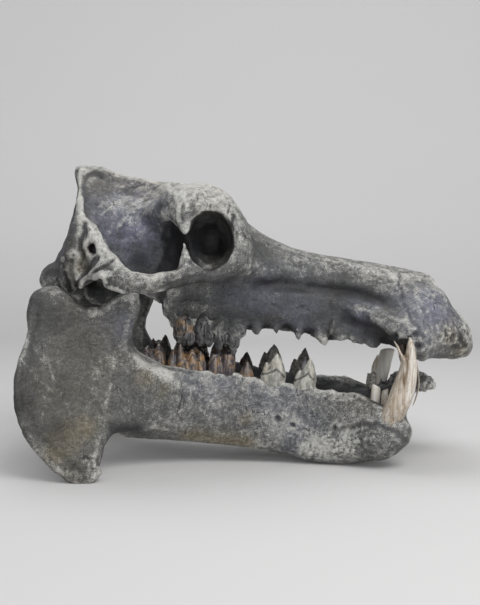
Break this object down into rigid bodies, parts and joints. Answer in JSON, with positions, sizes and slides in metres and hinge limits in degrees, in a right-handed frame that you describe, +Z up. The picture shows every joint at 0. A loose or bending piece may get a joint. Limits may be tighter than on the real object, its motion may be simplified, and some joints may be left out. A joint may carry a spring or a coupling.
{
  "type": "fossil hippopotamus skull",
  "caption": "Life-size fossil hippopotamus skull, cranium set on its mandible, with worn cheek teeth and broken lower tusks.",
  "frame": {"origin": "on the floor, under the middle of the bounding box", "axes": "+X forward to the snout, +Y to the animal's left, +Z up"},
  "size_m": [0.6274, 0.3879, 0.4222],
  "materials": {
    "skull_bone": "dry mottled grey fossil bone, paler on the ridges, near black upper teeth",
    "jaw_bone": "dry mottled grey fossil bone with ochre stains, brown enamel on the cheek teeth",
    "ivory_brown": "satin fossil ivory with brown lengthwise streaks",
    "ivory_pale": "satin chalky white fossil ivory"
  },
  "bodies": {
    "root": {"cranium": "skull_bone", "mandible": "jaw_bone", "tusk_right": "ivory_brown", "tusk_left": "ivory_pale"}
  },
  "joints": []
}
